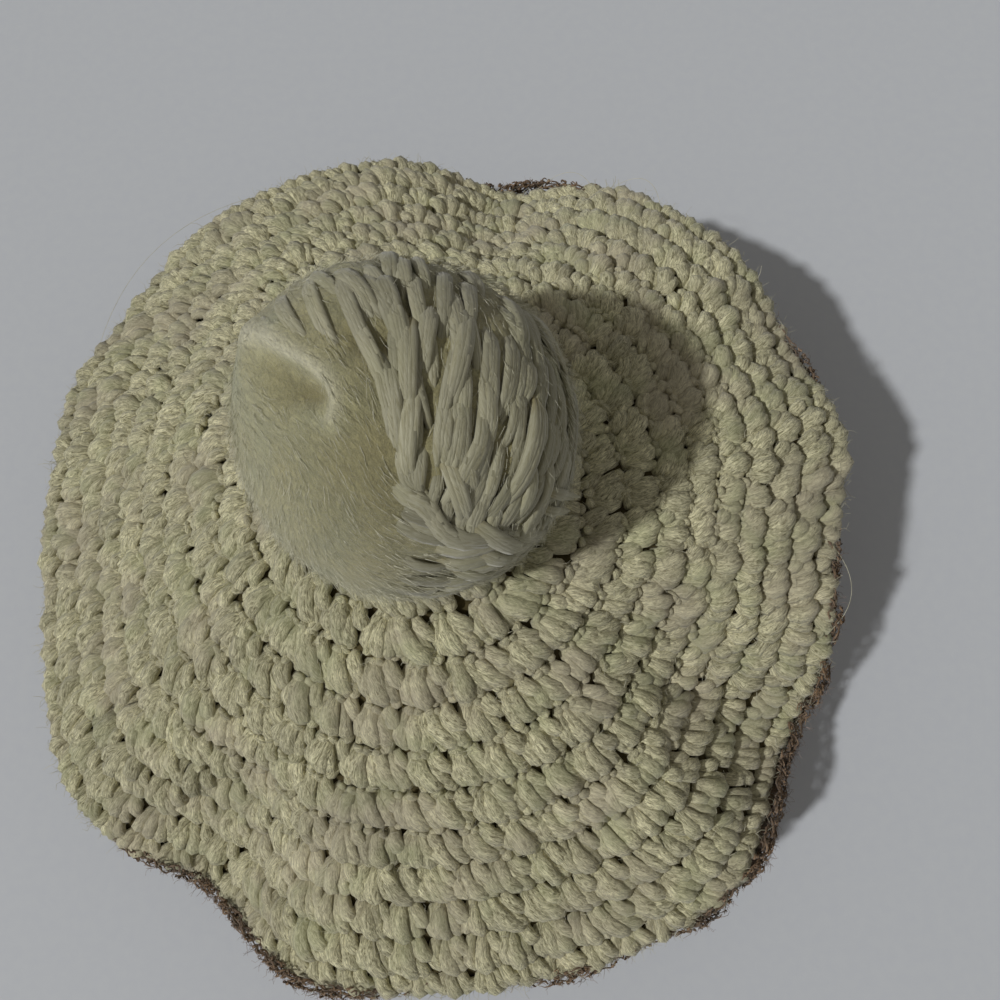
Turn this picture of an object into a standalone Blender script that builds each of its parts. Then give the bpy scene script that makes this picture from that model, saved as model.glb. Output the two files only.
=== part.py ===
"""A crocheted tam with a yarn pompom, lying on its head band.

The cream crown is a soft dome of crochet rounds, with folds that run out to its rim. At the rim a
brown underside turns back in to the head band, which carries the hat. Lengths are in metres. The
hat is modelled round its own axis, the middle of the head band, and then moved so that the box
round its uneven outline is centred over the origin.
"""

import math
import random

import bmesh
import bpy
from mathutils import Vector

# Driving dimensions
CROWN_RADIUS = 0.140
CROWN_DROP = 0.058
RIM_ROLL = 0.012
RIM_CLEARANCE = 0.0161
ROUNDS = 13
ROUND_RELIEF = 0.0022
WALL = 0.007
FOLD_DEPTH = 0.011
HEAD_OPENING = 0.164
BAND_HEIGHT = 0.036
BAND_WALL = 0.007
BAND_RELIEF = 0.0012
POMPOM_RADIUS = 0.0397
LOCK_LENGTH = 0.011
SEAM_GAP = 0.0003

# The dome is a cone rounded over this share of its middle, and bellies out by this share
DOME_ROUND = 0.18
DOME_BELLY = 0.05

# Fineness of the meshes
SEGMENTS = 72
ROLL_STEPS = 3
INNER_STEPS = 6
RETURN_STEPS = 4

# Folds that run from inside the crown out to its rim. A negative sink is a bulge between folds.
# angle: degrees from +X, spread: half width in degrees, sink: share of FOLD_DEPTH,
# pull: inward share of CROWN_RADIUS, start: share of the way out where the fold begins
FOLDS = (
    # angle, spread, sink, pull, start
    (22, 10, 0.30, 0.045, 0.60),
    (26, 42, -1.70, 0.045, 0.26),
    (48, 16, -0.35, 0.030, 0.30),
    (76, 13, 1.00, 0.058, 0.35),
    (112, 15, -0.35, 0.025, 0.40),
    (142, 13, 0.80, 0.008, 0.40),
    (165, 12, -0.10, 0.040, 0.40),
    (187, 22, 0.55, 0.070, 0.30),
    (235, 12, 1.00, 0.082, 0.45),
    (273, 24, -0.15, 0.028, 0.40),
    (307, 12, -0.20, -0.010, 0.40),
    (325, 12, 1.60, 0.050, 0.30),
    (350, 15, -0.30, 0.088, 0.40),
    (355, 40, -0.90, 0.025, 0.30),
)

# Section of one crochet round: share of the way across it, share of ROUND_RELIEF below its crest
ROUND_SECTION = (
    # along, below
    (0.12, 1.0),
    (0.78, 0.0),
)

# Outer side of the band: share of BAND_HEIGHT, share of BAND_RELIEF proud of the wall
BAND_SECTION = (
    # height, proud
    (0.00, 0.0),
    (0.17, 1.0),
    (0.33, 0.2),
    (0.50, 1.0),
    (0.67, 0.2),
    (0.83, 1.0),
    (1.00, 0.0),
)

# The pompom: its middle from the crown's top as shares of POMPOM_RADIUS, and its locks, whose
# levels are shares of the lock's foot and of LOCK_LENGTH, and whose tips lean and end unevenly
POMPOM_SEAT = Vector((0.055, 0.166, 0.443))
LOCK_LEVELS = (
    # width, rise
    (0.82, 0.58),
    (0.40, 1.00),
)
LOCK_LEAN = Vector((0.25, -0.20, -0.20))
LOCK_STRAY = 0.28
LOCK_UNEVEN = 0.30
LOCK_SEED = 7

CREAM = (0.55, 0.52, 0.36)
BROWN = (0.17, 0.11, 0.06)
POMPOM_CREAM = (0.58, 0.55, 0.40)

# Corners closer than this are one corner
WELD = 1e-6


def eased(share):
    """A smooth step from 0 to 1."""
    share = min(max(share, 0.0), 1.0)
    return share * share * (3 - 2 * share)


def fold_shift(turn, share):
    """How far the folds pull the fabric in and let it sink, at a share of the way out."""
    inward = 0.0
    down = 0.0
    for angle, spread, sink, pull, start in FOLDS:
        apart = (math.degrees(turn) - angle + 180) % 360 - 180
        weight = math.exp(-((apart / spread) ** 2)) * eased((share - start) / (1 - start))
        inward += weight * pull * CROWN_RADIUS
        down += weight * sink * FOLD_DEPTH
    return inward, down


def dome_fall(share):
    """Share of CROWN_DROP by which the dome has fallen, at a share of the way to the rim."""
    return (math.hypot(share, DOME_ROUND) - DOME_ROUND) / (math.hypot(1, DOME_ROUND) - DOME_ROUND)


def dome_slope(share):
    """Slope of the dome's outer face."""
    steepness = share / (math.hypot(share, DOME_ROUND) * (math.hypot(1, DOME_ROUND) - DOME_ROUND))
    run = CROWN_RADIUS * (1 + DOME_BELLY * (1 - 2 * share))
    return math.atan2(CROWN_DROP * steepness, run)


# The dome ends in a roll that turns from the dome's slope to upright, where the seam is. The
# lower face of the deepest fold clears the surface that the hat lies on.
RIM_SLOPE = dome_slope(1.0)
ROLL_RADIUS = CROWN_RADIUS - RIM_ROLL
DOME_RADIUS = ROLL_RADIUS + RIM_ROLL * math.sin(RIM_SLOPE)
DEEPEST_FOLD = max(fold_shift(math.tau * number / SEGMENTS, 1.0)[1] for number in range(SEGMENTS))
SEAM_HEIGHT = RIM_CLEARANCE + DEEPEST_FOLD + RIM_ROLL + SEAM_GAP
RIM_HEIGHT = SEAM_HEIGHT + RIM_ROLL * math.cos(RIM_SLOPE)
CROWN_TOP = RIM_HEIGHT + CROWN_DROP
BAND_INNER = HEAD_OPENING / 2
BAND_OUTER = BAND_INNER + BAND_WALL


def placed(radius, height, turn, share=1.0, keep=1.0):
    """A point of the hat's section, moved by the folds as far as keep says."""
    inward, down = fold_shift(turn, share)
    radius = radius - inward * keep
    return Vector((radius * math.cos(turn), radius * math.sin(turn), height - down * keep))


def dome(share, turn, depth=0.0):
    """A point of the crown, depth below its outer face, at a share of the way to the rim."""
    radius = DOME_RADIUS * share * (1 + DOME_BELLY * (1 - share))
    height = CROWN_TOP - CROWN_DROP * dome_fall(share)
    radius = max(radius - depth * math.sin(dome_slope(share)), 0.0)
    return placed(radius, height - depth * math.cos(dome_slope(share)), turn, share)


def roll(turn, slope, depth=0.0):
    """A point of the rolled rim, where its face slopes down by slope."""
    reach = RIM_ROLL - depth
    radius = ROLL_RADIUS + reach * math.sin(slope)
    return placed(radius, SEAM_HEIGHT + reach * math.cos(slope), turn)


def crown_section(turn):
    """The crown's wall at one angle, from its outer middle round the rim to its inner middle."""
    roll_length = RIM_ROLL * (math.pi / 2 - RIM_SLOPE)
    round_width = (math.hypot(DOME_RADIUS, CROWN_DROP) + roll_length) / ROUNDS
    dome_rounds = ROUNDS - roll_length / round_width
    points = [dome(0.0, turn)]
    for number in range(ROUNDS):
        for along, below in ROUND_SECTION:
            share = (number + along) / dome_rounds
            if share < 1:
                points.append(dome(share, turn, below * ROUND_RELIEF))
    for step in range(ROLL_STEPS + 1):
        slope = RIM_SLOPE + (math.pi / 2 - RIM_SLOPE) * step / ROLL_STEPS
        points.append(roll(turn, slope))
    points.append(roll(turn, math.pi / 2, WALL))
    for step in reversed(range(INNER_STEPS + 1)):
        points.append(dome(step / INNER_STEPS, turn, WALL))
    return points


def returning(way, turn, depth=0.0):
    """A point between the rim's roll and the band, depth above the underside's lower face."""
    radius = ROLL_RADIUS + (BAND_OUTER - ROLL_RADIUS) * way
    rim_end = SEAM_HEIGHT - SEAM_GAP - RIM_ROLL
    band_end = BAND_HEIGHT + SEAM_GAP
    height = rim_end + (band_end - rim_end) * eased(way) + depth
    return placed(radius, height, turn, keep=eased(1 - way))


def underside_section(turn):
    """The underside's wall at one angle: roll, lower face, edge over the band, upper face."""
    points = []
    for step in range(ROLL_STEPS):
        slope = math.pi / 2 * (1 + step / ROLL_STEPS)
        radius = ROLL_RADIUS + RIM_ROLL * math.sin(slope)
        height = SEAM_HEIGHT - SEAM_GAP + RIM_ROLL * math.cos(slope)
        points.append(placed(radius, height, turn))
    for step in range(RETURN_STEPS + 1):
        points.append(returning(step / RETURN_STEPS, turn))
    points.append(placed(BAND_INNER, BAND_HEIGHT + SEAM_GAP, turn, keep=0))
    points.append(placed(BAND_INNER, BAND_HEIGHT + SEAM_GAP + WALL, turn, keep=0))
    for step in reversed(range(RETURN_STEPS)):
        points.append(returning(step / RETURN_STEPS, turn, WALL))
    points.append(placed(CROWN_RADIUS - WALL, SEAM_HEIGHT - SEAM_GAP, turn))
    points.append(points[0])
    return points


def band_section(turn):
    """The band's wall at one angle, up its outer side and down its inner side."""
    points = []
    for height, proud in BAND_SECTION:
        points.append(placed(BAND_OUTER + proud * BAND_RELIEF, height * BAND_HEIGHT, turn, keep=0))
    points.append(placed(BAND_INNER, BAND_HEIGHT, turn, keep=0))
    points.append(placed(BAND_INNER, 0.0, turn, keep=0))
    points.append(points[0])
    return points


def material(name, colour, roughness):
    """A plain yarn material."""
    made = bpy.data.materials.new(name)
    made.use_nodes = True
    shader = made.node_tree.nodes["Principled BSDF"]
    shader.inputs["Base Color"].default_value = (*colour, 1.0)
    shader.inputs["Roughness"].default_value = roughness
    shader.inputs["Metallic"].default_value = 0.0
    return made


def finished(name, shape, surface):
    """An object made from a bmesh, welded, with its faces pointing out."""
    bmesh.ops.remove_doubles(shape, verts=shape.verts, dist=WELD)
    bmesh.ops.recalc_face_normals(shape, faces=shape.faces)
    mesh = bpy.data.meshes.new(name)
    shape.to_mesh(mesh)
    shape.free()
    mesh.shade_smooth()
    mesh.set_sharp_from_angle(angle=math.radians(50))
    mesh.materials.append(surface)
    thing = bpy.data.objects.new(name, mesh)
    bpy.context.collection.objects.link(thing)
    return thing


def turned(name, section, surface):
    """A body whose wall at each angle is the line of points that section gives."""
    rows = len(section(0.0)) - 1
    shape = bmesh.new()
    bmesh.ops.create_grid(shape, x_segments=SEGMENTS, y_segments=rows, size=0.5)
    lines = []
    for number in range(SEGMENTS + 1):
        lines.append(section(math.tau * (number % SEGMENTS) / SEGMENTS))
    for corner in shape.verts:
        number = round((corner.co.x + 0.5) * SEGMENTS)
        row = round((corner.co.y + 0.5) * rows)
        corner.co = lines[number][row]
    return finished(name, shape, surface)


def reach_to_crown(middle, heading):
    """Distance from the pompom's middle to the crown, or its own radius where that is less."""
    near = 0.0
    far = POMPOM_RADIUS
    for _ in range(24):
        tried = (near + far) / 2
        point = middle + heading * tried
        share = math.hypot(point.x, point.y) / DOME_RADIUS
        sunk = fold_shift(math.atan2(point.y, point.x), share)[1]
        if point.z > CROWN_TOP - CROWN_DROP * dome_fall(share) - sunk + SEAM_GAP:
            near = tried
        else:
            far = tried
    return near


def make_pompom():
    """A ball of yarn: a core whose faces are drawn out into leaning locks, pressed on its seat."""
    chance = random.Random(LOCK_SEED)
    shape = bmesh.new()
    bmesh.ops.create_icosphere(shape, subdivisions=3, radius=POMPOM_RADIUS - LOCK_LENGTH)
    bmesh.ops.join_triangles(
        shape,
        faces=shape.faces,
        angle_face_threshold=math.pi,
        angle_shape_threshold=math.pi,
    )
    feet = []
    for face in shape.faces:
        foot = face.calc_center_median()
        heading = foot.normalized()
        stray = Vector([chance.uniform(-LOCK_STRAY, LOCK_STRAY) for _ in range(3)])
        lean = (LOCK_LEAN + stray - heading * heading.dot(LOCK_LEAN + stray)) * LOCK_LENGTH
        length = LOCK_LENGTH * (1 - chance.uniform(0, LOCK_UNEVEN))
        corners = [corner.co - foot for corner in face.verts]
        feet.append((face, foot, heading, lean, length, corners))
    for width, rise in LOCK_LEVELS:
        bmesh.ops.inset_individual(shape, faces=[lock[0] for lock in feet], thickness=10 * WELD)
        for face, foot, heading, lean, length, corners in feet:
            level = foot + heading * length * rise + lean * rise * rise
            spread = width * (1 + length * rise / foot.length)
            for corner, offset in zip(face.verts, corners):
                corner.co = level + offset * spread
    middle = Vector((0, 0, CROWN_TOP)) + POMPOM_SEAT * POMPOM_RADIUS
    for corner in shape.verts:
        heading = corner.co.normalized()
        pressed = reach_to_crown(middle, heading) / POMPOM_RADIUS
        corner.co = middle + corner.co * pressed
    return finished("pompom", shape, material("pompom_yarn", POMPOM_CREAM, 0.9))


def main():
    for thing in list(bpy.data.objects):
        bpy.data.objects.remove(thing, do_unlink=True)
    brown = material("brown_yarn", BROWN, 0.95)
    crown = turned("crown", crown_section, material("cream_yarn", CREAM, 0.9))
    pieces = [
        crown,
        turned("underside", underside_section, brown),
        turned("band", band_section, brown.copy()),
        make_pompom(),
    ]
    across = [corner.co.x for corner in crown.data.vertices]
    back = [corner.co.y for corner in crown.data.vertices]
    for thing in pieces:
        thing.location.x = -(min(across) + max(across)) / 2
        thing.location.y = -(min(back) + max(back)) / 2


main()
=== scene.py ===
"""Looks of a crocheted tam with a yarn pompom: every stitch, lock and stray fibre, and its yarn.

The hat's fabric is one surface that runs from the middle of the crown over the rim, in under the
hat and down the head band. A place on it is given by how many crochet rounds it lies from the
middle and by its turn round the hat. Stitches are laid on that surface. Lengths are in metres.
"""

import math

import bmesh
import bpy
import numpy as np
from mathutils import Matrix, Vector
from mathutils.kdtree import KDTree


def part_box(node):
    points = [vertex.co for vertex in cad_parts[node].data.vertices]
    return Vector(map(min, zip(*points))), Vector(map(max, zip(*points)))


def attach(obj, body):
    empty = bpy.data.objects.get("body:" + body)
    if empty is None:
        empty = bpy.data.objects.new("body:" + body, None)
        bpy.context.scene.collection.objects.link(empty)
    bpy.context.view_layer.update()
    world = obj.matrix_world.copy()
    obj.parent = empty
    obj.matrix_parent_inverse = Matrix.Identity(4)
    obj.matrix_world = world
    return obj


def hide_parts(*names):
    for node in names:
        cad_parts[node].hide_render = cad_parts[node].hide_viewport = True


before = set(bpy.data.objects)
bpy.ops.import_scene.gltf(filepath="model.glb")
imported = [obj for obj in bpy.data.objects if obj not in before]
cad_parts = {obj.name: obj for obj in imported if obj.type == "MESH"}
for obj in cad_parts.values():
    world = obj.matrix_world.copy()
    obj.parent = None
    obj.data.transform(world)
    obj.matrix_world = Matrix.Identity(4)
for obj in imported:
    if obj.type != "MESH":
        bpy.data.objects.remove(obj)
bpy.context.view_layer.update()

MM = 0.001

# The hat's own axis and the head band, read from the frame
BAND_LOW, BAND_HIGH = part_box("band")
AXIS = np.array(((BAND_LOW.x + BAND_HIGH.x) / 2, (BAND_LOW.y + BAND_HIGH.y) / 2, 0.0))
BAND_HEIGHT = BAND_HIGH.z
CROWN_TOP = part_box("crown")[1].z
BAND_OUTER = 89 * MM
WALL = 7 * MM

# The crown's dome, its folds and the rolled rim, as the solid crown has them
CROWN_RADIUS = 140 * MM
CROWN_DROP = 58 * MM
RIM_ROLL = 12 * MM
DOME_ROUND = 0.18
DOME_BELLY = 0.05
FOLD_DEPTH = 11 * MM
FOLDS = np.array((
    # angle, spread, sink, pull, start
    (22, 10, 0.30, 0.045, 0.60),
    (26, 42, -1.70, 0.045, 0.26),
    (48, 16, -0.35, 0.030, 0.30),
    (76, 13, 1.00, 0.058, 0.35),
    (112, 15, -0.35, 0.025, 0.40),
    (142, 13, 0.80, 0.008, 0.40),
    (165, 12, -0.10, 0.040, 0.40),
    (187, 22, 0.55, 0.070, 0.30),
    (235, 12, 1.00, 0.082, 0.45),
    (273, 24, -0.15, 0.028, 0.40),
    (307, 12, -0.20, -0.010, 0.40),
    (325, 12, 1.60, 0.050, 0.30),
    (350, 15, -0.30, 0.088, 0.40),
    (355, 40, -0.90, 0.025, 0.30),
))

# Crochet rounds: on the crown, on the returning underside and on the band
CROWN_ROUNDS = 13
UNDER_ROUNDS = 5
UNDER_ROLL_ROUNDS = 1.5
BAND_ROUNDS = 3
UNDER_END = CROWN_ROUNDS + UNDER_ROUNDS
BAND_END = UNDER_END + BAND_ROUNDS
# The crown's rounds are three pieces that end here. Its inside is worked in stitches as far as
# the head opening lets it be seen
INNER_END = 7
MIDDLE_END = 10
INSIDE_END = 9
STITCH_PITCH = 10.1 * MM
YARN_RADIUS = 1.95 * MM
# How much wider soft yarn lies than a round strand
YARN_SPREAD = 1.12
FEWEST_STITCHES = 6
# How far above the board the face of the band's last round ends
BAND_FOOT = 0.55 * YARN_RADIUS
# How unevenly stitches are made: spreads of the place along and across in shares of a stitch,
# of the lean and the girth as shares, of the lift in mm, of a strand's wobble and of its shade
ALONG_SPREAD = 0.02
ACROSS_SPREAD = 0.03
LEAN_SPREAD = 0.10
GIRTH_SPREAD = 0.09
LIFT_SPREAD = 0.3
WOBBLE = 0.14 * MM
SHADE_SPREAD = 0.06
# The yarn's pattern starts anywhere within this many mm of yarn
YARN_RUN = 400
# The layer behind the stitches starts this far below the fabric's face
BACKING_DEPTH = 3.4 * MM

# Yarn strands of one stitch, each a smooth line through its points.
# along: rounds from the stitch's foot outward, across: stitches sideways, lift: mm off the
# fabric's face, girth: share of YARN_RADIUS
LEG_LEFT = (
    # along, across, lift, girth
    (-0.05, -0.08, -6.0, 0.55),
    (0.05, -0.16, -4.0, 0.85),
    (0.26, -0.30, -2.0, 1.02),
    (0.52, -0.34, -1.5, 1.08),
    (0.76, -0.32, -2.7, 1.00),
    (0.86, -0.28, -5.6, 0.65),
)
LEG_MIDDLE = (
    # along, across, lift, girth
    (-0.06, 0.02, -6.2, 0.55),
    (0.07, 0.00, -3.8, 0.85),
    (0.29, -0.04, -1.4, 1.10),
    (0.58, -0.02, -0.8, 1.20),
    (0.83, 0.02, -2.3, 1.08),
    (0.93, 0.04, -5.4, 0.70),
)
LEG_RIGHT = (
    # along, across, lift, girth
    (-0.05, 0.10, -6.0, 0.55),
    (0.07, 0.15, -4.0, 0.80),
    (0.30, 0.24, -2.0, 0.98),
    (0.56, 0.30, -1.5, 1.05),
    (0.79, 0.33, -2.6, 1.00),
    (0.89, 0.33, -5.6, 0.65),
)
FRONT_LOOP = (
    # along, across, lift, girth
    (-0.08, 0.32, -5.4, 0.60),
    (0.00, 0.40, -3.2, 0.90),
    (0.14, 0.50, -1.6, 1.00),
    (0.30, 0.60, -1.5, 1.00),
    (0.42, 0.66, -3.0, 0.80),
    (0.46, 0.68, -5.4, 0.60),
)
RIGHT_SIDE = (LEG_LEFT, LEG_MIDDLE, LEG_RIGHT, FRONT_LOOP)
PLAIN_SIDE = (LEG_LEFT, LEG_MIDDLE, LEG_RIGHT)
WRONG_SIDE = (LEG_LEFT, LEG_RIGHT)

# How far a stitch's outer end is turned past its foot, in stitches, and how far its foot is
# drawn to the top of the stitch below
STITCH_LEAN = 0.3
SHARED_FOOT = 0.5

# Where brown stitches of the underside stand out below the rim
PEEKS = np.array((
    # angle, spread, out in mm
    (20, 5, 3.0),
    (72, 7, 5.0),
    (230, 7, 2.6),
    (240, 6, 3.4),
    (250, 6, 3.6),
    (258, 4, 2.4),
    (286, 5, 2.6),
    (303, 4, 3.4),
    (312, 4, 4.6),
    (319, 4, 5.4),
    (326, 4, 4.6),
    (334, 4, 3.6),
    (343, 3, 3.2),
    (350, 4, 2.6),
))

# The pompom's radius and its middle above the crown's top as shares of it. Its face is parted
# into locks of yarn: how far out it lies between them and how far they stand up from there, where
# the yarn is combed and where it has felted, as shares of the radius too
POMPOM_RADIUS = 39.7 * MM
POMPOM_SEAT = (0.055, 0.166, 0.443)
COMBED_FACE = 0.930
COMBED_LOCKS = 0.020
FELTED_FACE = 0.978
FELTED_LOCKS = 0.006
# The locks of its face, and the strands over them: how many, their length, their girth, and of
# how many thinner ones each is bundled
POMPOM_LOCKS = 330
POMPOM_STRANDS = 310
POMPOM_LENGTH = 27 * MM
POMPOM_YARN = 1.5 * MM
BUNDLE = 4
# Girths along a strand, as shares
COMBED_TAPER = (0.3, 0.8, 1.05, 1.05, 1.0, 0.8, 0.2)
LAID_TAPER = (0.3, 0.8, 1.05, 1.05, 0.95, 0.75, 0.2)
FRIZZ_TAPER = (0.3, 0.9, 1.05, 0.9, 0.3)

# The photograph's viewpoint, angles in degrees. The distance is measured from a point level with
# the crown's top and off the hat's axis by the aim
CAMERA_ELEVATION = 76.2
CAMERA_ROLL = -3.04
CAMERA_VIEW = 60
CAMERA_AIM = (21.7 * MM, -6.8 * MM)
CAMERA_DISTANCE = 215.7 * MM
# Where the camera sees the pompom, across and up from the picture's middle, and its radius
# there, as shares of the distance
POMPOM_SEEN = (-0.1016, 0.0727, 0.1998)
# Places on the pompom are across and up as the camera sees it, in shares of its radius
POMPOM_HOLLOWS = np.array((
    # across, up, spread, depth
    (0.06, 0.10, 0.06, 0.07),
    (0.04, 0.24, 0.06, 0.05),
    (-0.31, 0.55, 0.10, 0.028),
    (0.02, 0.72, 0.07, 0.04),
    (0.19, -0.48, 0.07, 0.07),
    (0.42, -0.36, 0.07, 0.06),
))
# Where the ball's outline stands out, its spread in radians
POMPOM_BULGES = np.array((
    # across, up, spread, out
    (-0.78, 0.58, 0.50, 0.13),
    (-0.20, 0.96, 0.35, 0.06),
))
# A curled lock of felted yarn through these places, with a hollow below it
POMPOM_RIDGE = (
    # across, up
    (-0.92, 0.58),
    (-0.79, 0.52),
    (-0.57, 0.39),
    (-0.46, 0.27),
    (-0.45, 0.14),
    (-0.52, 0.0),
)
RIDGE_WIDTH = 0.10
RIDGE_HEIGHT = 0.045
RIDGE_HOLLOW = 0.12
RIDGE_HOLLOW_WIDTH = 0.22
# Strands that stand out singly. girth: share of POMPOM_YARN, rise and tip:
# how far out their middles and their ends lie, in shares of the radius
POMPOM_LAID = (
    # across, up, to across, to up, girth, rise, tip
    (0.36, 0.84, 0.14, -0.06, 1.10, 0.962, 0.88),
    (0.32, 0.54, 0.29, -0.06, 0.75, 0.955, 0.88),
    (-0.02, 0.80, -0.02, -0.04, 1.05, 0.962, 0.88),
    (-0.22, 0.56, -0.08, -0.06, 0.90, 0.958, 0.88),
    (0.76, 0.38, 0.49, -0.54, 1.30, 0.970, 0.88),
    (0.74, -0.06, 0.60, -0.58, 0.95, 0.962, 0.88),
    (0.84, -0.04, 0.71, -0.56, 0.85, 0.962, 0.88),
    (0.17, -0.04, 0.36, -0.60, 1.05, 0.960, 0.88),
    (0.28, 0.04, 0.39, -0.44, 0.85, 0.955, 0.88),
    (0.22, -0.42, 0.78, -0.73, 1.10, 0.968, 0.90),
    (0.30, -0.67, 0.78, -0.79, 1.00, 0.968, 0.90),
    (0.20, -0.80, 0.64, -0.88, 0.90, 0.962, 0.90),
    (0.80, -0.32, 1.06, -0.39, 0.75, 0.985, 1.05),
    (0.78, -0.44, 1.03, -0.50, 0.70, 0.978, 1.03),
    (-0.98, 0.76, -0.50, 0.36, 0.80, 0.945, 0.88),
    (-0.80, 0.90, -0.42, 0.28, 0.90, 0.943, 0.88),
    (-0.60, 1.00, -0.34, 0.28, 0.90, 0.941, 0.88),
    (-0.42, 0.94, -0.18, 0.32, 0.95, 0.948, 0.88),
)

# Long stray fibres that stand away from the rim
LONG_FIBRES = (
    # from angle, to angle, out in mm, up in mm
    (116, 148, 9, 4),
    (52, 60, 5, 3),
    (63, 72, 6, 2),
    (341, 352, 5, 2),
)


def eased(share):
    """A smooth step from 0 to 1."""
    share = np.clip(share, 0.0, 1.0)
    return share * share * (3 - 2 * share)


def unit(vectors):
    """Vectors of length one."""
    return vectors / np.maximum(np.linalg.norm(vectors, axis=-1, keepdims=True), 1e-9)


def chance(name):
    """Seeded random numbers of a piece's own, the same on each run."""
    return np.random.default_rng([ord(letter) for letter in name])


def near_angles(turn, angle, spread):
    """How near a turn is to angles in degrees, 1 at them and fading over their spreads."""
    apart = (np.degrees(turn)[..., None] - angle + 180) % 360 - 180
    return np.exp(-((apart / spread) ** 2))


def peek(turn):
    """How far the underside's edge stands out below the rim."""
    angle, spread, out = PEEKS.T
    return (near_angles(turn, angle, spread) * out).sum(-1) * MM


def fold_shift(turn, share):
    """How far the folds pull the fabric in and let it sink, at a share of the way out."""
    angle, spread, sink, pull, start = FOLDS.T
    turn, share = np.broadcast_arrays(turn, share)
    weight = near_angles(turn, angle, spread) * eased((share[..., None] - start) / (1 - start))
    return (weight * pull).sum(-1) * CROWN_RADIUS, (weight * sink).sum(-1) * FOLD_DEPTH


DOME_SPAN = math.hypot(1, DOME_ROUND) - DOME_ROUND
RIM_SLOPE = math.atan2(
    CROWN_DROP / (math.hypot(1, DOME_ROUND) * DOME_SPAN),
    CROWN_RADIUS * (1 - DOME_BELLY),
)
ROLL_RADIUS = CROWN_RADIUS - RIM_ROLL
DOME_RADIUS = ROLL_RADIUS + RIM_ROLL * math.sin(RIM_SLOPE)
RIM_HEIGHT = CROWN_TOP - CROWN_DROP
SEAM_HEIGHT = RIM_HEIGHT - RIM_ROLL * math.cos(RIM_SLOPE)
ROLL_LENGTH = RIM_ROLL * (math.pi / 2 - RIM_SLOPE)
ROLL_ROUNDS = ROLL_LENGTH * CROWN_ROUNDS / (math.hypot(DOME_RADIUS, CROWN_DROP) + ROLL_LENGTH)
DOME_ROUNDS = CROWN_ROUNDS - ROLL_ROUNDS


def dome_radius(share):
    """Distance from the axis of the dome's face, at a share of the way to the rim."""
    return DOME_RADIUS * share * (1 + DOME_BELLY * (1 - share))


def dome_height(share):
    """Height of the dome's face, at a share of the way to the rim."""
    return CROWN_TOP - CROWN_DROP * (np.hypot(share, DOME_ROUND) - DOME_ROUND) / DOME_SPAN


def fabric_point(rounds, turn):
    """A place on the fabric's face: rounds from the crown's middle, turn round the hat."""
    rounds, turn = np.broadcast_arrays(np.asarray(rounds, float), np.asarray(turn, float))
    share = np.clip(rounds / DOME_ROUNDS, 0.0, 1.0)
    radius = dome_radius(share)
    height = dome_height(share)

    # Over the rim, which is rolled from the dome's slope till it faces down
    over = (rounds - DOME_ROUNDS) / ROLL_ROUNDS
    under = (rounds - CROWN_ROUNDS) / UNDER_ROLL_ROUNDS
    slope = np.where(
        rounds < CROWN_ROUNDS,
        RIM_SLOPE + (math.pi / 2 - RIM_SLOPE) * over,
        math.pi / 2 * (1 + under),
    )
    slope = np.clip(slope, RIM_SLOPE, math.pi)
    rolled = rounds > DOME_ROUNDS
    radius = np.where(rolled, ROLL_RADIUS + RIM_ROLL * np.sin(slope), radius)
    height = np.where(rolled, SEAM_HEIGHT + RIM_ROLL * np.cos(slope), height)

    # In under the hat to the band
    way = (rounds - CROWN_ROUNDS - UNDER_ROLL_ROUNDS) / (UNDER_ROUNDS - UNDER_ROLL_ROUNDS)
    way = np.clip(way, 0.0, 1.0)
    low = SEAM_HEIGHT - RIM_ROLL
    radius = np.where(way > 0, ROLL_RADIUS + (BAND_OUTER - ROLL_RADIUS) * way, radius)
    height = np.where(way > 0, low + (BAND_HEIGHT - low) * eased(way), height)

    # Down the band
    down_band = np.clip((rounds - CROWN_ROUNDS - UNDER_ROUNDS) / BAND_ROUNDS, 0.0, None)
    height = height - down_band * (BAND_HEIGHT - BAND_FOOT)

    # The folds, which fade out under the hat
    inward, down = fold_shift(turn, share)
    keep = eased(1 - way)
    radius = radius - inward * keep
    height = height - down * keep
    return AXIS + np.stack([radius * np.cos(turn), radius * np.sin(turn), height], -1)


def fabric_frame(rounds, turn):
    """The face's point, its outward normal and its direction of growth."""
    step = 0.04
    ahead = fabric_point(rounds + step, turn)
    behind = fabric_point(np.maximum(rounds - step, 0.0), turn)
    growth = unit(ahead - behind)
    swing = 0.01
    wide = np.maximum(rounds, 0.2)
    side = unit(fabric_point(wide, turn + swing) - fabric_point(wide, turn - swing))
    return fabric_point(rounds, turn), unit(np.cross(growth, side)), growth


def plan_rounds():
    """For each round, the turn at each stitch's foot, the turn at its top and the round's pitch.
    A stitch is worked into the stitch below it that lies nearest once it leans."""
    luck = chance("rounds")
    plan = []
    below = np.zeros(1)
    for number in range(BAND_END):
        ring = fabric_point(number + 0.5, np.linspace(0, math.tau, 73))
        length = np.linalg.norm(np.diff(ring, axis=0), axis=-1).sum()
        stitches = max(FEWEST_STITCHES, round(length / STITCH_PITCH))
        pitch = math.tau / stitches
        uneven = luck.normal(0, 0.04, stitches)
        tops = luck.uniform(0, math.tau) + pitch * (np.arange(stitches) + uneven)
        level = tops - STITCH_LEAN * pitch
        apart = (level[:, None] - below[None, :] + math.pi) % math.tau - math.pi
        parent = np.abs(apart).argmin(1)
        feet = level - SHARED_FOOT * apart[np.arange(stitches), parent] * (number > 0)
        plan.append((feet, tops, pitch))
        below = tops
    return plan


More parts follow.
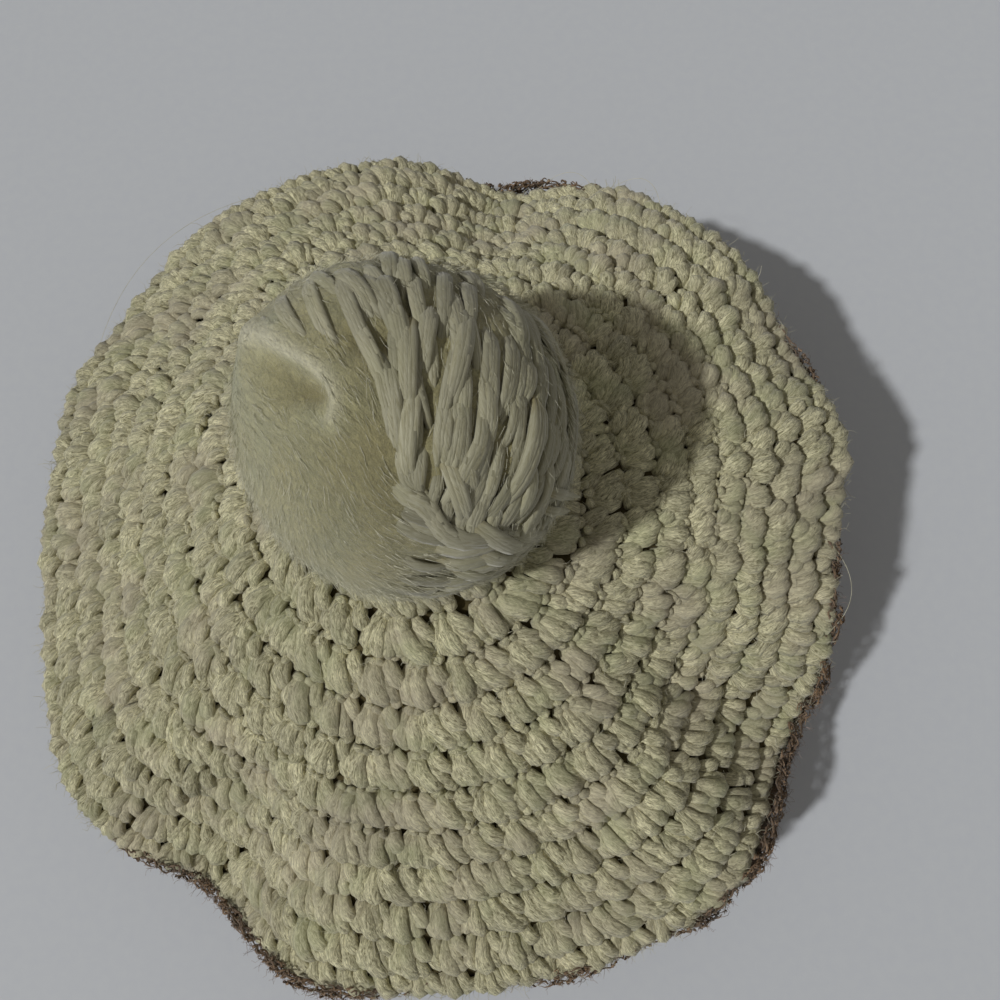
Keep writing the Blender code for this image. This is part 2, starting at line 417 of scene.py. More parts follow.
def smooth_line(points, count):
    """A smooth line through a table of points, as count rows of the same columns."""
    points = np.asarray(points, float)
    padded = np.vstack([2 * points[0] - points[1], points, 2 * points[-1] - points[-2]])
    place = np.linspace(0, len(points) - 1, count)
    knot = np.minimum(place.astype(int), len(points) - 2)
    t = (place - knot)[:, None]
    a, b, c, d = (padded[knot + offset] for offset in range(4))
    return 0.5 * (
        2 * b + (c - a) * t + (2 * a - 5 * b + 4 * c - d) * t**2 + (3 * b - a - 3 * c + d) * t**3
    )


def along_strand(shares, rings):
    """Shares spread smoothly over a strand's rings."""
    return smooth_line([(share,) for share in shares], rings)[:, 0]


def seed_strand(sides, rings):
    """A short closed tube, read as each corner's ring and angle, its faces and its UVs."""
    shape = bmesh.new()
    bmesh.ops.create_cone(
        shape, cap_ends=True, cap_tris=True, segments=sides, radius1=1, radius2=1, depth=rings - 1
    )
    long_edges = []
    for edge in shape.edges:
        low, high = edge.verts
        if abs(low.co.z - high.co.z) > 0.5:
            long_edges.append(edge)
    bmesh.ops.subdivide_edges(shape, edges=long_edges, cuts=rings - 2, use_grid_fill=True)
    bmesh.ops.recalc_face_normals(shape, faces=shape.faces)
    corners = np.array([corner.co[:] for corner in shape.verts])
    ring = np.rint(corners[:, 2] + (rings - 1) / 2).astype(int)
    angle = np.arctan2(corners[:, 1], corners[:, 0])
    tip = np.hypot(corners[:, 0], corners[:, 1]) < 0.5
    faces = []
    uvs = []
    for face in shape.faces:
        spots = [corner.index for corner in face.verts]
        around = np.array([angle[spot] / math.tau + 0.25 for spot in spots]) % 1.0
        around = np.where(around < around.max() - 0.5, around + 1, around)
        around = np.where(tip[spots], around[~tip[spots]].mean(), around)
        faces.append(spots)
        uvs.extend(zip(ring[spots] / (rings - 1), around))
    shape.free()
    return ring, angle, tip, faces, np.array(uvs)


def placed(name, data):
    """A new object in the scene."""
    thing = bpy.data.objects.new(name, data)
    bpy.context.collection.objects.link(thing)
    return thing


def new_piece(name, mesh, surface):
    """A shaded object from a finished mesh."""
    mesh.shade_smooth()
    mesh.materials.append(surface)
    return placed(name, mesh)


def finished_mesh(name, shape):
    """A mesh from a shape that is done with."""
    mesh = bpy.data.meshes.new(name)
    shape.to_mesh(mesh)
    shape.free()
    return mesh


def mark(mesh, name, values):
    """Gives each corner of a mesh a value that its material reads."""
    mesh.attributes.new(name, "FLOAT", "POINT").data.foreach_set("value", values)


def strands(name, lines, girths, hints, tints, surface, sides=6, uneven=0.07):
    """One mesh of many yarn strands. lines: strands by rings by 3, girths: their radii there,
    hints: a direction across each, tints: a shade for each, uneven: how much girths vary."""
    pointed = 0.7
    luck = chance(name)
    count, rings = lines.shape[:2]
    girths = girths * (1 + luck.normal(0, uneven, girths.shape))
    ring, angle, tip, seed_faces, seed_uvs = seed_strand(sides, rings)
    course = unit(np.gradient(lines, axis=1))
    hint = np.broadcast_to(hints[:, None, :], lines.shape)
    across = unit(hint - course * (hint * course).sum(-1, keepdims=True))
    above = np.cross(course, across)
    wide = np.where(tip, 0.0, np.cos(angle) * YARN_SPREAD)[None, :, None]
    tall = np.where(tip, 0.0, np.sin(angle) / YARN_SPREAD)[None, :, None]
    end = np.where(tip, np.where(ring == 0, -pointed, pointed), 0.0)[None, :, None]
    corners = lines[:, ring] + girths[:, ring, None] * (
        wide * across[:, ring] + tall * above[:, ring] + end * course[:, ring]
    )
    faces = []
    for start in range(0, count * len(ring), len(ring)):
        faces.extend([[start + spot for spot in face] for face in seed_faces])
    mesh = bpy.data.meshes.new(name)
    mesh.from_pydata(corners.reshape(-1, 3), [], faces)
    lengths = np.linalg.norm(np.diff(lines, axis=1), axis=-1).sum(1)
    along = seed_uvs[None, :, 0] * lengths[:, None] / MM
    twist = luck.uniform(-0.1, 0.5, count)[:, None]
    uvs = np.empty((count, len(seed_uvs), 2))
    uvs[..., 0] = luck.uniform(0, YARN_RUN, count)[:, None] + along
    uvs[..., 1] = seed_uvs[None, :, 1] * (math.tau * girths.max(1)[:, None] / MM) + twist * along
    mesh.uv_layers.new(name="yarn").data.foreach_set("uv", uvs.ravel())
    mark(mesh, "tint", np.repeat(tints, len(ring)))
    mark(mesh, "along", np.tile(ring / (rings - 1), count))
    return new_piece(name, mesh, surface)


def lay_stitches(name, first, last, patterns, surface, rings=8, inside=False, peeking=False):
    """Crochet stitches on the fabric's rounds from first to last, as one mesh. inside puts them
    on the wrong side. peeking lets some of the first round stand out below the rim."""
    luck = chance(name)
    lines = []
    girths = []
    hints = []
    tints = []
    table = np.stack([smooth_line(pattern, rings) for pattern in patterns])
    for number in range(first, last):
        feet, tops, pitch = ROUND_PLAN[number]
        stitches = len(tops)
        shape = (stitches, len(patterns))
        along = table[None, :, :, 0] + luck.normal(0, ALONG_SPREAD, shape)[..., None]
        lean = luck.normal(0, LEAN_SPREAD, shape)[..., None]
        slip = luck.normal(0, ACROSS_SPREAD, shape)[..., None]
        across = table[None, :, :, 1] + slip + lean * (along - 0.5)
        loose = luck.normal(0, LIFT_SPREAD, shape)
        loose = loose + luck.normal(0, LIFT_SPREAD, stitches)[:, None]
        plump = 1 + luck.normal(0, GIRTH_SPREAD, shape)
        way = eased(along)
        turn = feet[:, None, None] * (1 - way) + tops[:, None, None] * way + across * pitch
        point, normal, _ = fabric_frame(number + along, turn)
        lift = (table[None, :, :, 2] + loose[..., None]) * MM
        if peeking and number == first:
            lift = lift + peek(tops)[:, None, None]
        if inside:
            normal = -normal
            lift = lift + WALL
        line = point + normal * lift[..., None] + luck.normal(0, WOBBLE, point.shape)
        lines.append(line.reshape(-1, rings, 3))
        width = YARN_RADIUS * table[None, :, :, 3] * plump[..., None]
        girths.append(np.broadcast_to(width, along.shape).reshape(-1, rings))
        chord = unit(line[:, :, -1] - line[:, :, 0])
        hints.append(unit(np.cross(chord, normal[:, :, rings // 2])).reshape(-1, 3))
        stitch_tone = luck.normal(1.0, SHADE_SPREAD, stitches)[:, None]
        tints.append((stitch_tone + luck.normal(0, SHADE_SPREAD, shape)).ravel())
    joined = [np.concatenate(rows) for rows in (lines, girths, hints, tints)]
    return strands(name, *joined, surface)


def fabric_backing(name, surface, first, last, thickness, depth=BACKING_DEPTH):
    """The closed layer of yarn behind the stitches' posts, seen in the holes between them; its dark
    material is painted shade in those holes. depth is how far its outer side lies below the fabric's
    face."""
    segments = 96
    rows_each_round = 3
    rows = max(4, int((last - first) * rows_each_round))
    shape = bmesh.new()
    bmesh.ops.create_grid(shape, x_segments=segments, y_segments=2 * rows + 1, size=0.5)
    corners = np.array([corner.co[:] for corner in shape.verts])
    column = np.rint((corners[:, 0] + 0.5) * segments) % segments
    row = np.rint((corners[:, 1] + 0.5) * (2 * rows + 1))
    inner = row > rows
    level = np.where(inner, 2 * rows + 1 - row, row) / rows
    rounds = first + (last - first) * level
    point, normal, _ = fabric_frame(rounds, column / segments * math.tau)
    spots = point - normal * (depth + np.where(inner, thickness, 0.0))[:, None]
    spots[rounds < 0.01, :2] = AXIS[:2]
    for corner, spot in zip(shape.verts, spots):
        corner.co = spot
    bmesh.ops.remove_doubles(shape, verts=shape.verts, dist=1e-6)
    rims = [edge for edge in shape.edges if edge.is_boundary]
    if rims:
        bmesh.ops.bridge_loops(shape, edges=rims)
    bmesh.ops.recalc_face_normals(shape, faces=shape.faces)
    return new_piece(name, finished_mesh(name, shape), surface)


def camera_axes():
    """The camera's right, up and backward directions."""
    elevation = math.radians(CAMERA_ELEVATION)
    roll = math.radians(CAMERA_ROLL)
    back = np.array([0.0, -math.cos(elevation), math.sin(elevation)])
    right = np.array([1.0, 0.0, 0.0])
    up = np.cross(back, right)
    return (
        right * math.cos(roll) + up * math.sin(roll),
        up * math.cos(roll) - right * math.sin(roll),
        back,
    )


RIGHT, UP, BACK = camera_axes()
EYE = AXIS + np.array([*CAMERA_AIM, CROWN_TOP]) + BACK * CAMERA_DISTANCE
POMPOM_MIDDLE = AXIS + np.array([0, 0, CROWN_TOP]) + np.array(POMPOM_SEAT) * POMPOM_RADIUS


def seen_at(across, up):
    """The direction from the pompom's middle to the place on it seen there by the camera."""
    place, rise, size = POMPOM_SEEN
    across, up = np.broadcast_arrays(np.asarray(across, float), np.asarray(up, float))
    ray = (place + size * across)[..., None] * RIGHT + (rise + size * up)[..., None] * UP - BACK
    ray = unit(ray)
    toward = POMPOM_MIDDLE - EYE
    reach = ray @ toward
    depth = np.sqrt(np.maximum(POMPOM_RADIUS**2 - toward @ toward + reach**2, 0.0))
    return unit(EYE + ray * (reach - depth)[..., None] - POMPOM_MIDDLE)


def as_seen(heading):
    """Where the camera sees places on the pompom, across and up, and how far they face it."""
    place, rise, size = POMPOM_SEEN
    way = POMPOM_MIDDLE + POMPOM_RADIUS * heading - EYE
    depth = -(way @ BACK)
    facing = -(heading * unit(way)).sum(-1)
    return (way @ RIGHT / depth - place) / size, (way @ UP / depth - rise) / size, facing


def above_crown(points, gap):
    """Points lifted where they would sink into the crown."""
    shares = np.linspace(0, 1, 60)
    apart = points - AXIS
    out = np.hypot(apart[..., 0], apart[..., 1])
    share = np.interp(out, dome_radius(shares), shares)
    sunk = fold_shift(np.arctan2(apart[..., 1], apart[..., 0]), share)[1]
    points = points.copy()
    points[..., 2] = np.maximum(points[..., 2], dome_height(share) - sunk + gap)
    return points


def on_pompom(heading, rise, gap):
    """Places that way from the pompom's middle. rise: how far out, in shares of its radius.
    gap: how far they stay above the crown."""
    return above_crown(POMPOM_MIDDLE + heading * (POMPOM_RADIUS * rise)[..., None], gap)


def curve(start, bend, end, rings):
    """Smooth lines from start to end, drawn toward bend."""
    t = np.linspace(0, 1, rings)[None, :, None]
    start, bend, end = (points[:, None, :] for points in (start, bend, end))
    return start * (1 - t) ** 2 + bend * 2 * t * (1 - t) + end * t**2


def pompom_felted(heading):
    """How far the strands there have felted into one soft mass: the lower left has, the top only
    in part and the right side not at all."""
    across, up, facing = as_seen(heading)
    felted = eased((0.14 - across - 0.45 * np.maximum(up, 0)) / 0.4)
    return felted * (1 - 0.5 * eased((up - 0.3) / 0.35) * eased(facing / 0.3))


def by_the_ridge(heading):
    """How far each place lies from the curled lock, which side of it is below, and its share of
    the way along it."""
    seen = np.stack(as_seen(heading)[:2], -1)
    steps = 40
    line = smooth_line(POMPOM_RIDGE, steps)
    course = unit(np.gradient(line, axis=0))
    apart = np.linalg.norm(seen[..., None, :] - line, axis=-1)
    nearest = apart.argmin(-1)
    offset = seen - line[nearest]
    below = offset[..., 0] * course[nearest, 1] - offset[..., 1] * course[nearest, 0]
    return apart.min(-1), below, nearest / (steps - 1)


def pompom_hollow(heading):
    """How deep the pompom is parted there, in shares of its radius."""
    across, up, facing = as_seen(heading)
    place, rise, spread, depth = POMPOM_HOLLOWS.T
    apart = np.hypot(across[..., None] - place, up[..., None] - rise) / spread
    parted = (np.exp(-(apart**2)) * depth).sum(-1)
    away, below, share = by_the_ridge(heading)
    wide = RIDGE_HOLLOW_WIDTH * np.sin(math.pi * np.clip(share, 0.1, 0.9))
    under = np.exp(-((away / wide) ** 2)) * eased(below / 0.05)
    middle = eased((share - 0.05) / 0.3) * eased((1.0 - share) / 0.45)
    return (parted + RIDGE_HOLLOW * under * middle) * eased(facing / 0.2)


def pompom_ridge(heading):
    """How far the curled lock stands up there, in shares of the pompom's radius."""
    apart, _, share = by_the_ridge(heading)
    ends = eased(share / 0.1 + 0.3) * eased((1.0 - share) / 0.15)
    seen = eased(as_seen(heading)[2] / 0.2)
    return RIDGE_HEIGHT * np.exp(-((apart / RIDGE_WIDTH) ** 2)) * ends * seen


def pompom_bulge(heading):
    """How far the ball stands out there past its radius, in shares of it."""
    place, rise, spread, out = POMPOM_BULGES.T
    apart = np.arccos(np.clip(heading @ seen_at(place, rise).T, -1, 1)) / spread
    return (np.exp(-(apart**2)) * out).sum(-1)


def pompom_flow(heading):
    """The way strands lie there. Seen by the camera, they fall from the top inward and down,
    spread outward below and run down the far sides."""
    across, up, facing = as_seen(heading)
    inward = np.where(across < 0, -1.6, -0.35) * across
    falling = unit(inward[..., None] * RIGHT - UP)
    spreading = unit((across + 0.55)[..., None] * RIGHT - 0.35 * UP)
    edge = -0.05 - 0.38 * eased((across + 0.1) / 0.3)
    low = eased((edge - up) / 0.25)[..., None]
    far = eased((0.1 - facing) / 0.4)[..., None]
    way = (falling * (1 - low) + spreading * low) * (1 - far) - BACK * far
    return unit(way - heading * (way * heading).sum(-1, keepdims=True))


def pompom_directions(count, luck, jitter):
    """Directions spread evenly round a ball, a little disordered."""
    number = np.arange(count) + 0.5
    rise = 1 - 2 * number / count
    turn = number * math.pi * (3 - math.sqrt(5))
    flat = np.sqrt(1 - rise**2)
    even = np.stack([flat * np.cos(turn), flat * np.sin(turn), rise], -1)
    return unit(even + luck.normal(0, jitter, even.shape))


def combed(heading, lengths, rings, luck):
    """Paths over the pompom along its flow, as directions from its middle."""
    step = lengths[:, None] / (rings - 1) / POMPOM_RADIUS
    path = [heading]
    drift = luck.normal(0, 0.08, heading.shape)
    for _ in range(rings - 1):
        drift = drift + luck.normal(0, 0.04, heading.shape)
        heading = unit(heading + (pompom_flow(heading) + drift) * step)
        path.append(heading)
    return np.stack(path, 1)


def pompom_locks(heading):
    """The lock that each place lies in: how far inside it, 1 in its middle and 0 at its border,
    how far the lock stands out, and its nearest knot with the knot's course and way along."""
    luck = chance("pompom_locks")
    rings = 10
    lengths = POMPOM_LENGTH * luck.uniform(0.7, 1.4, POMPOM_LOCKS)
    path = combed(pompom_directions(POMPOM_LOCKS, luck, 0.08), lengths, rings, luck)
    share = np.linspace(0, 1, rings)
    wide = luck.uniform(0.7, 1.3, POMPOM_LOCKS)[:, None]
    wide = wide * (0.35 + 0.65 * np.sin(math.pi * share) ** 0.6)
    knots = path.reshape(-1, 3)
    courses = unit(np.gradient(path, axis=1)).reshape(-1, 3)
    starts = luck.uniform(0, YARN_RUN, POMPOM_LOCKS) * MM
    ways = (starts[:, None] + lengths[:, None] * share).ravel()
    finder = KDTree(len(knots))
    for number, knot in enumerate(knots):
        finder.insert(knot, number)
    finder.balance()
    neighbours = 26
    near = [[found[1] for found in finder.find_n(spot, neighbours)] for spot in heading]
    near = np.array(near)
    apart = heading[:, None] - knots[near]
    half = lengths[near // rings] / (rings - 1) / POMPOM_RADIUS / 2
    along = np.clip((apart * courses[near]).sum(-1), -half, half)
    away = np.linalg.norm(apart - along[..., None] * courses[near], axis=-1) / wide.ravel()[near]
    rows = np.arange(len(heading))
    first = away.argmin(1)
    own = near[rows, first]
    nearest = away[rows, first]
    other = np.where(near // rings == own[:, None] // rings, np.inf, away).min(1)
    inside = 1 - 2 * nearest / (other + nearest)
    stand = luck.normal(0, 0.010, POMPOM_LOCKS)[own // rings]
    return inside, stand, knots[own], courses[own], ways[own]


def pompom_core(surface):
    """The pompom's face of packed yarn: parted into locks on the right, felted on the left."""
    shape = bmesh.new()
    bmesh.ops.create_icosphere(shape, subdivisions=6, radius=1.0)
    heading = unit(np.array([corner.co[:] for corner in shape.verts]))
    faces = np.array([[corner.index for corner in face.verts] for face in shape.faces])
    felted = pompom_felted(heading)
    hollow = pompom_hollow(heading)
    ridge = pompom_ridge(heading)
    inside, stand, knot, course, way = pompom_locks(heading)
    full = 0.5 * np.sqrt(1 - (1 - inside) ** 2) + 0.5 * eased(inside)
    face_out = COMBED_FACE + (FELTED_FACE - COMBED_FACE) * felted
    locks_out = COMBED_LOCKS + (FELTED_LOCKS - COMBED_LOCKS) * felted
    size = face_out + locks_out * full + stand * (1 - felted) + ridge - hollow
    size = size + pompom_bulge(heading)
    spots = on_pompom(heading, size, -3.0 * MM)
    for corner, spot in zip(shape.verts, spots):
        corner.co = spot
    bmesh.ops.smooth_vert(
        shape, verts=shape.verts, factor=0.5, use_axis_x=True, use_axis_y=True, use_axis_z=True
    )
    mesh = finished_mesh("pompom_core", shape)
    leader = faces[:, :1]
    apart = heading[faces] - knot[leader]
    side = np.cross(knot, course)
    uvs = np.stack([
        way[leader] + (apart * course[leader]).sum(-1) * POMPOM_RADIUS,
        (apart * side[leader]).sum(-1) * POMPOM_RADIUS,
    ], -1)
    mesh.uv_layers.new(name="yarn").data.foreach_set("uv", (uvs / MM).ravel())
    # How light the yarn is: combed, from painted shade in the partings up to the tops of the locks,
    # and darker overall as painted shade on the side away from the key light, and felted, from the
    # lower middle out to 60 degrees from it. Hollows get painted shade and the ridge a painted
    # highlight
    inner = np.degrees(np.arccos(np.clip(heading @ seen_at(-0.05, -0.30), -1, 1)))
    painted_light_and_shade = (0.40 + 0.35 * full) * (1 - felted) + (0.42 + 0.48 * eased(inner / 60)) * felted
    # Painted shade in the hollows and a painted highlight on the curled lock
    along = painted_light_and_shade - 5 * hollow + 13 * ridge
    mark(mesh, "along", along)
    return new_piece("pompom_core", mesh, surface)


def cut_short(lines, first, last):
    """Lines from first to last, shares of the way along each, with as many rings as before."""
    rings = lines.shape[-2]
    place = (first + (last - first) * np.linspace(0, 1, rings)) * (rings - 1)
    knot = np.minimum(place.astype(int), rings - 2)[..., None]
    part = place[..., None] - knot
    behind = np.take_along_axis(lines, knot, -2)
    return behind + (np.take_along_axis(lines, knot + 1, -2) - behind) * part


def bundled(name, lines, girths, outward, tints, surface):
    """Strands of cut yarn, each a loose flat bundle of thinner ones whose ends lie apart.
    outward: the way out of the pompom at each."""
    luck = chance(name + "_bundles")
    count, rings = lines.shape[:2]
    course = unit(np.gradient(lines, axis=1))
    across = unit(np.cross(outward[:, None, :], course))
    above = np.cross(course, across)
    # Side by side across the bundle, drifting apart along it, its middle ones raised
    each = (count, BUNDLE, 1)
    place = np.linspace(-0.50, 0.50, BUNDLE)[None, :, None] + luck.normal(0, 0.04, each)
    place = place + luck.normal(0, 0.12, each) * np.linspace(-1, 1, rings)
    raised = 0.35 * (1 - place**2) + luck.normal(0, 0.012, each)
    shift = place[..., None] * across[:, None] + raised[..., None] * above[:, None]
    lines = lines[:, None] + girths.max(1)[:, None, None, None] * shift
    lines = cut_short(lines, luck.uniform(0.0, 0.14, each), luck.uniform(0.72, 1.0, each))
    girths = girths[:, None, :] * luck.uniform(0.58, 0.66, each)
    tints = tints[:, None] + luck.normal(0, 0.04, (count, BUNDLE))
    hints = np.repeat(across[:, rings // 2], BUNDLE, axis=0)
    lines = lines.reshape(-1, rings, 3)
    girths = girths.reshape(-1, rings)
    return strands(name, lines, girths, hints, tints.ravel(), surface, uneven=0.02)


def pompom_strands(surface):
    """The combed strands over the locks. Each comes up from inside, lies along the ball and dips
    in again, all but the loose tips at the far right."""
    luck = chance("pompom_strands")
    start = pompom_directions(4 * POMPOM_STRANDS, luck, 0.05)
    rings = 9
    path = combed(start, POMPOM_LENGTH * luck.uniform(0.6, 1.2, len(start)), rings, luck)
    parted = (pompom_felted(path) + 8 * pompom_hollow(path)).mean(1)
    kept = np.flatnonzero(parted < 0.42)
    kept = kept[:: max(1, len(kept) // POMPOM_STRANDS)][:POMPOM_STRANDS]
    start, path = start[kept], path[kept]
    t = np.linspace(0, 1, rings)
    # Up out of the ball, along it and in again, but for the loose ones at the far right
    loose = eased((path[:, -1] @ RIGHT - 0.75) / 0.2)[:, None]
    rise = 0.87 + 0.080 * eased(t / 0.4) - 0.06 * eased((t - 0.65) / 0.35) * (1 - 1.6 * loose)
    rise = rise + luck.normal(0, 0.006, len(start))[:, None] + pompom_bulge(path)
    lines = on_pompom(path, rise, 1.2 * MM)
    profile = along_strand(COMBED_TAPER, rings)
    plump = POMPOM_YARN * luck.uniform(0.7, 1.15, len(start))
    tints = luck.normal(1.0, 0.11, len(start))
    return bundled("pompom_strands", lines, plump[:, None] * profile, start, tints, surface)


def pompom_laid(surface):
    """The single strands that lie over the others."""
    luck = chance("pompom_laid")
    table = np.array(POMPOM_LAID)
    first = seen_at(table[:, 0], table[:, 1])
    last = seen_at(table[:, 2], table[:, 3])
    middle = unit(first + last)
    rings = 12
    path = unit(curve(first, middle, last, rings))
    root = 0.89
    rise = [along_strand((root, row[5], row[5], row[6]), rings) for row in table]
    rise = np.array(rise) + pompom_bulge(path)
    lines = on_pompom(path, rise, 1.5 * MM)
    profile = along_strand(LAID_TAPER, rings)
    girths = POMPOM_YARN * table[:, 4:5] * profile
    # Tinted lighter than the other strands: a painted highlight on strands that lie on top and catch
    # the light
    tints = luck.normal(1.10, 0.05, len(table))
    return bundled("pompom_laid_strands", lines, girths, middle, tints, surface)


def fibres(name, roots, headings, lengths, curl, thickness, surface, rings):
    """Fine stray fibres as one mesh. Each sets out along its heading and wanders off by curl."""
    luck = chance(name)
    steps = [headings]
    for _ in range(rings - 2):
        steps.append(unit(steps[-1] + luck.normal(0, curl, headings.shape)))
    path = np.cumsum(np.stack([np.zeros_like(headings)] + steps, 1), 1)
    lines = roots[:, None, :] + path * (lengths / (rings - 1))[:, None, None]
    taper = np.linspace(1.0, 0.5, rings)
    girths = thickness * luck.uniform(0.7, 1.3, len(roots))[:, None] * taper
    tints = luck.normal(1.0, 0.1, len(roots))
    hints = np.cross(headings, luck.normal(0, 1, headings.shape))
    return strands(name, lines, girths, hints, tints, surface, sides=3)


def by_the_peeks(count, luck):
    """Turns gathered where the underside stands out below the rim."""
    angle, spread, far = PEEKS.T
    picked = luck.choice(len(angle), count, p=far * spread / (far * spread).sum())
    return np.radians(angle[picked] + luck.normal(0, 0.75, count) * spread[picked])


def edge_tangle(count, surface):
    """Brown frizz, short and curled, along the rim where the underside stands out below it."""
    luck = chance("edge_tangle")
    rings = 7
    way = np.linspace(-1, 1, rings)
    curl = luck.uniform(0.4, 1.0, count)[:, None] * MM
    phase = luck.uniform(0, math.tau, count)[:, None]
    phase = phase + luck.uniform(1.4, 2.6, count)[:, None] * way
    half = luck.normal(0, 1.2, count)[:, None] * MM
    turn = by_the_peeks(count, luck)[:, None] + (half * way + curl * np.sin(phase)) / CROWN_RADIUS
    rounds = luck.uniform(12.25, 13.6, count)[:, None] + curl * np.cos(phase) / STITCH_PITCH
    point, normal, growth = fabric_frame(rounds, turn)
    lift = 0.85 * peek(turn) + luck.uniform(-2.4 * MM, 0.2 * MM, count)[:, None]
    lift = lift + 0.5 * curl * np.sin(2 * phase)
    lines = point + normal * lift[..., None]
    profile = along_strand(FRIZZ_TAPER, rings)
    thickness = 0.36 * MM
    girths = thickness * luck.uniform(0.6, 1.3, count)[:, None] * profile
    tints = luck.normal(1.0, 0.2, count)
    return strands("edge_tangle", lines, girths, growth[:, rings // 2], tints, surface, sides=3)


def fabric_fuzz(
    name, surface, count, first, last, length, stand, rings, curl=0.35, peeking=False
):
    """Stray fibres on the fabric between two rounds. stand is how far they stand up. peeking
    gathers them where the underside stands out below the rim."""
    luck = chance(name)
    rounds = np.sqrt(luck.uniform(first**2, last**2, count))
    turn = luck.uniform(0, math.tau, count)
    out = np.zeros(count)
    if peeking:
        turn = by_the_peeks(count, luck)
        out = peek(turn)
    point, normal, growth = fabric_frame(rounds, turn)
    sideways = np.cross(normal, growth)
    swing = luck.uniform(0, math.tau, count)[:, None]
    heading = unit(
        np.cos(swing) * growth + np.sin(swing) * sideways
        + normal * luck.uniform(0.1, 2 * stand, count)[:, None]
    )
    rooted = 0.6 * MM
    root = point + normal * (out - rooted)[:, None]
    lengths = luck.uniform(0.5, 1.5, count) * length
    thickness = 0.075 * MM
    return fibres(name, root, heading, lengths, curl, thickness, surface, rings)


def pompom_fuzz(surface):
    """Fine ends of yarn: a few all over, more on the felted side and most round the edge."""
    luck = chance("pompom_fuzz")
    ends = 19000
    heading = pompom_directions(ends, luck, 0.05)
    height = heading[:, 2]
    felted = pompom_felted(heading)
    edge = 1 - np.abs(heading @ BACK)
    share = 0.12 + 0.16 * felted + 0.8 * edge**2
    share = share * (height > -0.55) * (pompom_hollow(heading) < 0.02)
    kept = luck.uniform(0, 1, len(heading)) < share
    heading, felted, edge = heading[kept], felted[kept], edge[kept]
    rise = 0.958 + 0.021 * felted + pompom_ridge(heading) + pompom_bulge(heading)
    root = on_pompom(heading, rise, 1.0 * MM)
    stand = (0.02 + 0.45 * edge)[:, None]
    aim = unit(pompom_flow(heading) + stand * heading + luck.normal(0, 0.14, heading.shape))
    lengths = luck.uniform(2.0, 5.0, len(heading)) * MM
    thickness = 0.06 * MM
    curl = 0.15
    return fibres("pompom_fuzz", root, aim, lengths, curl, thickness, surface, rings=3)


def long_fibres(surface):
    """The few long fibres that bow out from the rim."""
    rows = np.radians(np.array(LONG_FIBRES, float)[:, :2])
    out = np.array(LONG_FIBRES, float)[:, 2:] * MM
    near_rim = 12.4
    first = fabric_point(near_rim, rows[:, 0])
    last = fabric_point(near_rim, rows[:, 1])
    middle = (first + last) / 2
    away = unit((middle - AXIS) * np.array([1.0, 1.0, 0.0]))
    bend = middle + away * 2 * out[:, :1] + np.array([0, 0, 1.0]) * 2 * out[:, 1:]
    rings = 14
    lines = curve(first, bend, last, rings)
    thickness = 0.07 * MM
    girths = np.full((len(rows), rings), thickness)
    return strands("long_fibres", lines, girths, away, np.full(len(rows), 1.0), surface, sides=4)


def linear(colour):
    """An sRGB hex colour as linear values with alpha."""
    parts = []
    for place in (1, 3, 5):
        part = int(colour[place:place + 2], 16) / 255
        parts.append(part / 12.92 if part <= 0.04045 else ((part + 0.055) / 1.055) ** 2.4)
    return (*parts, 1.0)


def fit_out(tree, made, settings):
    """Gives a node its settings: plain values, hex colours or other nodes' outputs, which are
    linked."""
    for key, value in settings.items():
        if isinstance(value, bpy.types.NodeSocket):
            tree.links.new(value, made.inputs[key])
        elif key not in made.inputs:
            setattr(made, key, value)
        elif isinstance(value, str):
            made.inputs[key].default_value = linear(value)
        else:
            made.inputs[key].default_value = value


def node(tree, kind, output, settings):
    """Adds a node with its settings and links, and gives its named output."""
    made = tree.nodes.new(kind)
    fit_out(tree, made, settings)
    return made.outputs[output]


def blank_material(name):
    """A new material and its node tree, with the shader it ends in."""
    material = bpy.data.materials.new(name)
    material.use_nodes = True
    tree = material.node_tree
    return material, tree, tree.nodes["Principled BSDF"]


def streaks(tree, across, stretch, detail, roughness, distortion):
    """How high tufts of fibre stand along a strand. They are across mm wide, as the strand's map
    is in mm, and stretch times as long."""
    course = node(tree, "ShaderNodeUVMap", "UV", {"uv_map": "yarn"})
    drawn_out = {"Vector": course, "Scale": (1 / stretch, 1.0, 1.0)}
    return node(tree, "ShaderNodeTexNoise", "Fac", {
        "Vector": node(tree, "ShaderNodeMapping", "Vector", drawn_out),
        "Scale": 1 / across,
        "Detail": detail,
        "Roughness": roughness,
        "Distortion": distortion,
    })


def turning(tree, value, low, high, first, second, most=1.0):
    """One colour that turns into a second, at most by a share, as a value rises from low to
    high. A colour is hex or another node's output."""
    rising = {"Value": value, "From Min": low, "From Max": high, "To Max": most}
    return node(tree, "ShaderNodeMix", "Result", {
        "data_type": "RGBA",
        "Factor": node(tree, "ShaderNodeMapRange", "Result", rising),
        "A": first,
        "B": second,
    })


def woolly(tree, tufts, depth, strength, ends, ends_depth, ends_strength):
    """The relief of yarn: its tufts, and over them the frizz of fibres' ends, that far apart."""
    low = {"Height": tufts, "Distance": depth, "Strength": strength}
    frizz = node(tree, "ShaderNodeTexNoise", "Fac", {
        "Vector": node(tree, "ShaderNodeTexCoord", "Object", {}),
        "Scale": 1 / ends,
        "Detail": 4.0,
        "Roughness": 0.75,
    })
    return node(tree, "ShaderNodeBump", "Normal", {
        "Normal": node(tree, "ShaderNodeBump", "Normal", low),
        "Height": frizz,
        "Distance": ends_depth,
        "Strength": ends_strength,
    })


def finish_yarn(tree, shader, colour, normal, sheen):
    """Puts a yarn's colour and relief on its shader, with the soft gloss of acrylic fibre."""
    fit_out(tree, shader, {
        "Base Color": colour,
        "Normal": normal,
        "Roughness": 0.65,
        "Specular IOR Level": 0.4,
        "Sheen Weight": sheen,
        "Sheen Roughness": 0.45,
    })


